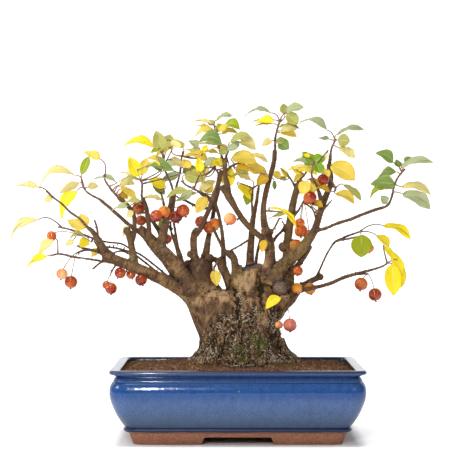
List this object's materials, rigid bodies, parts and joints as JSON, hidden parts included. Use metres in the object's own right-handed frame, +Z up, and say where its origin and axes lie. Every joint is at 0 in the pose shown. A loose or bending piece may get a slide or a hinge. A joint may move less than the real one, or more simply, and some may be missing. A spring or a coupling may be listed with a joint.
{
  "type": "crabapple bonsai",
  "caption": "Crabapple bonsai in autumn leaf with hanging fruit, in an oblong blue glazed pot: a display plant that stands on its feet.",
  "frame": {"origin": "centre of the plant's bounding box in X and Y, at the ground under the pot's feet", "axes": "+Z up, +X along the pot's length towards the viewer's right, +Y away from the viewer, so the plant's front faces -Y"},
  "size_m": [0.6958, 0.29, 0.5501],
  "materials": {
    "drain_mesh": "black, matt",
    "fruit": "thin skin, satin gloss",
    "leaf_green": "thin leaf blade, satin",
    "leaf_yellow": "thin leaf blade, satin",
    "leaf_light": "thin leaf blade, satin",
    "leaf_lime": "thin leaf blade, satin",
    "leaf_pale": "thin leaf blade, satin",
    "leaf_gold": "thin leaf blade, satin",
    "glaze": "blue glaze, gloss",
    "soil": "baked clay granules, matt",
    "bark": "rough bark"
  },
  "bodies": {
    "root": {"drain_mesh_left": "drain_mesh", "drain_mesh_right": "drain_mesh", "fruit_arm_behind": "fruit", "fruit_arm_cluster": "fruit", "fruit_far_left_one": "fruit", "fruit_left_hanging": "fruit", "fruit_left_low_pair": "fruit", "fruit_left_stem_pair": "fruit", "fruit_left_under_row": "fruit", "fruit_middle_one": "fruit", "fruit_middle_pair": "fruit", "fruit_right_cluster": "fruit", "fruit_right_end_pair": "fruit", "fruit_right_high_pair": "fruit", "fruit_right_long": "fruit", "fruit_right_low_pair": "fruit", "fruit_right_single": "fruit", "fruit_right_upper": "fruit", "fruit_trunk_pair": "fruit", "fruit_whip_behind": "fruit", "leaves_arm_small": "leaf_green", "leaves_arm_yellow": "leaf_yellow", "leaves_bright_leaf": "leaf_yellow", "leaves_broad_light": "leaf_light", "leaves_crown_broad": "leaf_yellow", "leaves_crown_dark": "leaf_green", "leaves_crown_top": "leaf_lime", "leaves_far_left": "leaf_pale", "leaves_fork_dull": "leaf_pale", "leaves_gold_hang": "leaf_gold", "leaves_high_left": "leaf_light", "leaves_high_middle": "leaf_green", "leaves_left_drop": "leaf_pale", "leaves_left_end": "leaf_yellow", "leaves_left_low_back": "leaf_gold", "leaves_left_low_tip": "leaf_yellow", "leaves_left_top": "leaf_gold", "leaves_low_end": "leaf_yellow", "leaves_mid_gold": "leaf_gold", "leaves_mid_left": "leaf_yellow", "leaves_mid_left_under": "leaf_light", "leaves_orange_leaf": "leaf_gold", "leaves_right_back": "leaf_yellow", "leaves_right_end": "leaf_green", "leaves_right_gold": "leaf_gold", "leaves_right_hang": "leaf_gold", "leaves_right_inner": "leaf_green", "leaves_right_top": "leaf_light", "leaves_right_yellow": "leaf_yellow", "leaves_stem_orange": "leaf_gold", "leaves_strap": "leaf_yellow", "leaves_top": "leaf_light", "leaves_trunk_gold": "leaf_gold", "leaves_trunk_yellow": "leaf_yellow", "leaves_whip": "leaf_lime", "pot": "glaze", "soil": "soil", "tree": "bark"}
  },
  "joints": []
}
